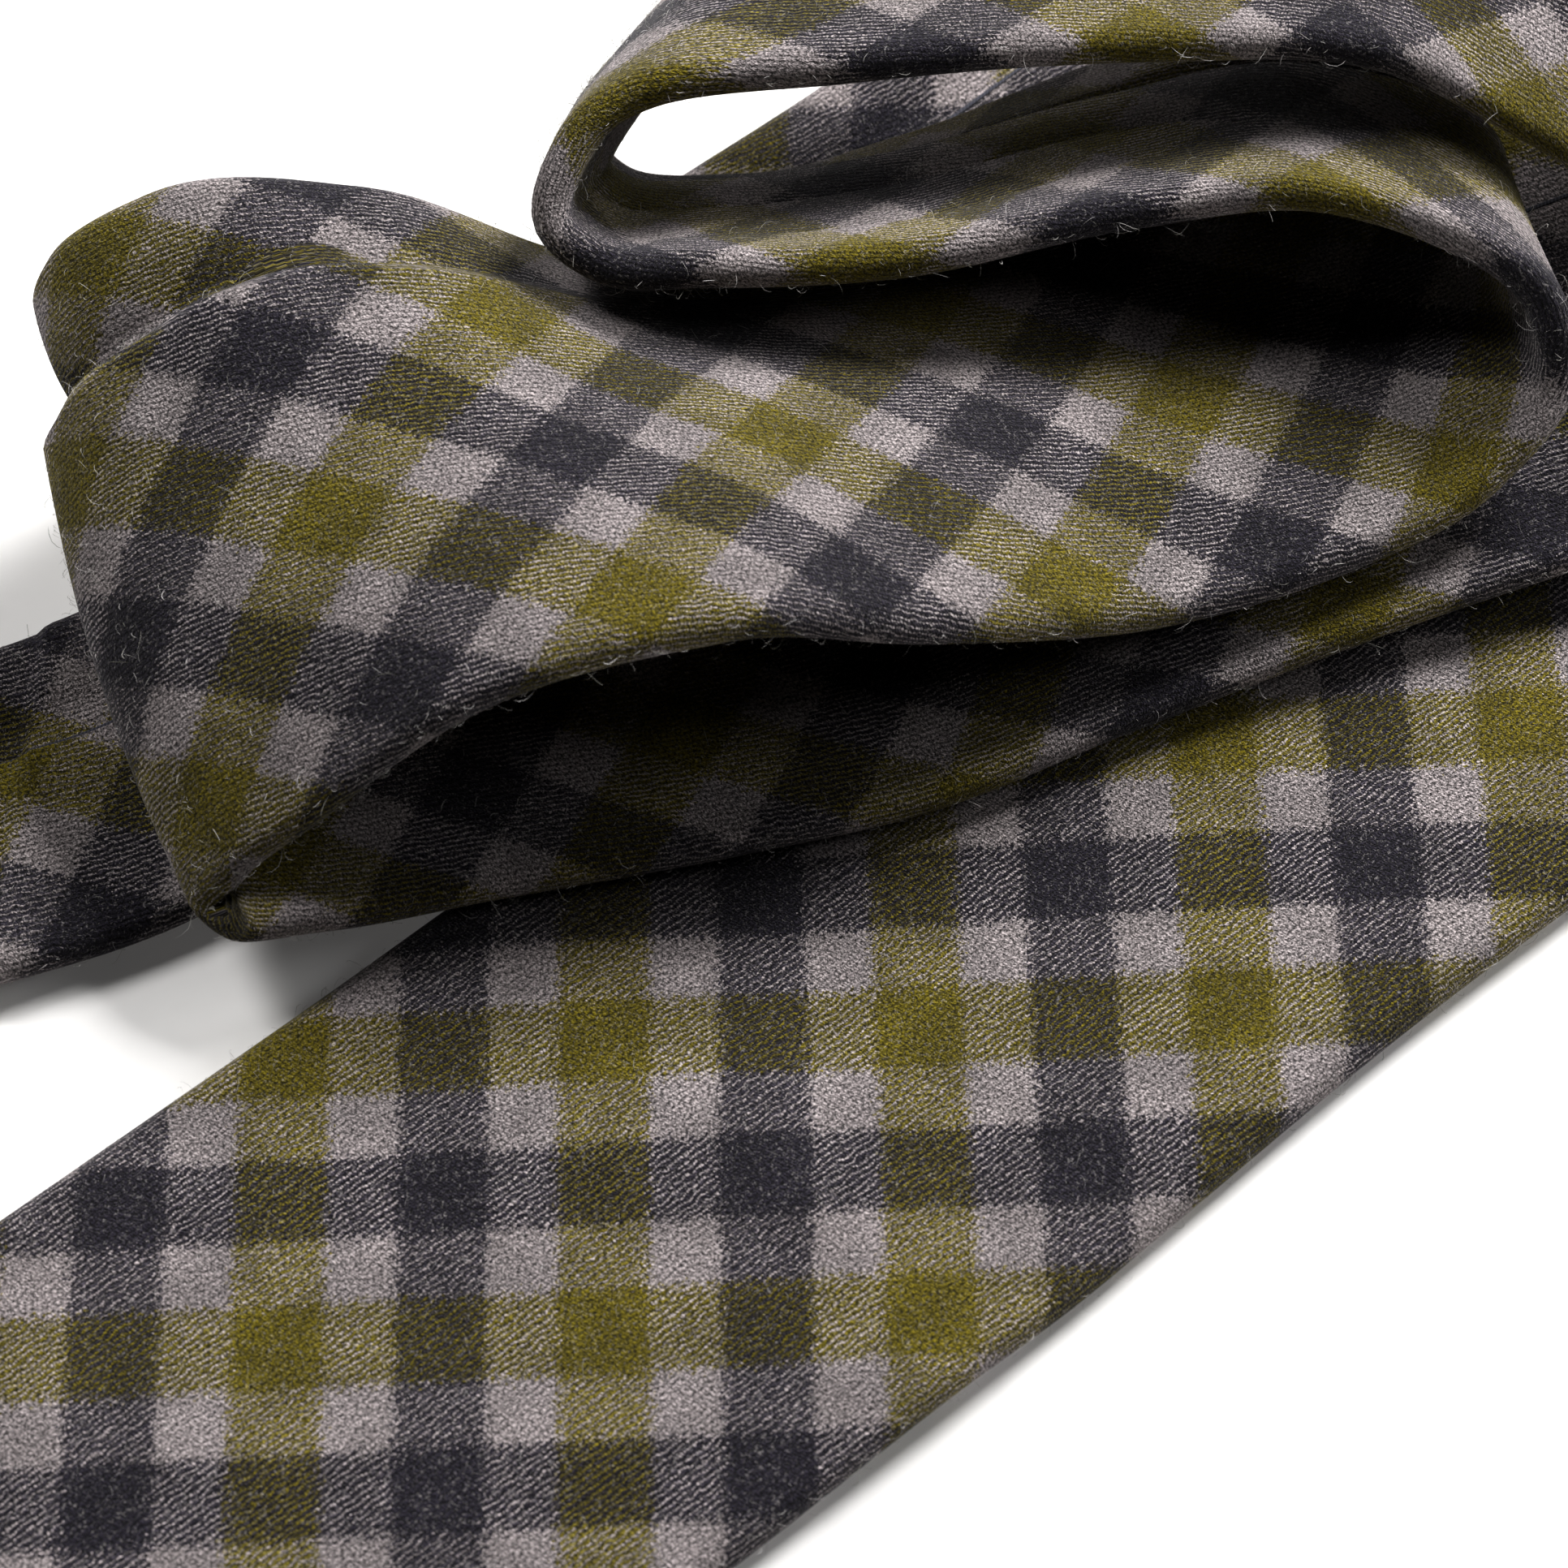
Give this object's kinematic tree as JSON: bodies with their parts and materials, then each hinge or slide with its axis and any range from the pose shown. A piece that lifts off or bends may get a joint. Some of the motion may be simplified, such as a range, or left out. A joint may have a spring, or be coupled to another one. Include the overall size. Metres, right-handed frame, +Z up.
{
  "type": "necktie",
  "caption": "Wool-flannel necktie, cut as blade, neck and tail over an interlining, lying in a loose zig-zag pile with both pointed ends free to lift and curl.",
  "frame": {"origin": "on the table under the blade's flat back, 190 mm along the tie from the blade's point; the flat underside of the blade cloth there is z = 0", "axes": "+Z up from the table, the tie's face up on the blade; +X to the viewer's right, the way the folds run and away from the tail's point; +Y to the back of the pile"},
  "size_m": [0.5163, 0.2719, 0.0483],
  "materials": {
    "check_flannel": "brushed 2/2 twill wool in a small block check of navy, grey and olive",
    "wool_interlining": "undyed open plain-weave wool",
    "satin_tipping": "smooth dark satin lining",
    "sewing_thread": "matt spun thread",
    "label_tape": "plain woven tape, blank"
  },
  "bodies": {
    "pile": {"blade_cloth": "check_flannel", "neck_cloth": "check_flannel", "tail_cloth": "check_flannel", "blade_neck_seam": "sewing_thread", "neck_tail_seam": "sewing_thread", "interlining": "wool_interlining", "slip_stitch": "sewing_thread", "keeper_loop": "check_flannel", "keeper_stitch_near": "sewing_thread", "keeper_stitch_far": "sewing_thread"},
    "blade_end": {"blade_end_cloth": "check_flannel", "blade_end_interlining": "wool_interlining", "blade_end_slip_stitch": "sewing_thread"},
    "blade_tip": {"blade_tip_cloth": "check_flannel", "blade_tip_interlining": "wool_interlining", "blade_tipping": "satin_tipping", "blank_label": "label_tape", "blade_bar_tack": "sewing_thread"},
    "tail_end": {"tail_end_cloth": "check_flannel", "tail_end_interlining": "wool_interlining", "tail_end_slip_stitch": "sewing_thread"},
    "tail_tip": {"tail_tip_cloth": "check_flannel", "tail_tip_interlining": "wool_interlining", "tail_tipping": "satin_tipping", "care_tape": "label_tape", "tail_bar_tack": "sewing_thread"}
  },
  "joints": [
    {"name": "blade_lift", "type": "hinge", "parent": "pile", "child": "blade_end", "pos_m": [-0.03816, -0.06453, 0.0043], "axis": [-0.6225, 0.7826, 0], "range_deg": [0, 60]},
    {"name": "blade_curl", "type": "hinge", "parent": "blade_end", "child": "blade_tip", "pos_m": [-0.07319, -0.09278, 0.0043], "axis": [-0.6225, 0.7826, 0], "range_deg": [0, 70]},
    {"name": "tail_lift", "type": "hinge", "parent": "pile", "child": "tail_end", "pos_m": [-0.15179, -0.02911, 0.0043], "axis": [-0.2317, 0.9728, 0], "range_deg": [0, 60]},
    {"name": "tail_curl", "type": "hinge", "parent": "tail_end", "child": "tail_tip", "pos_m": [-0.27936, -0.05364, 0.0043], "axis": [-0.0902, 0.9959, 0], "range_deg": [0, 70]}
  ]
}
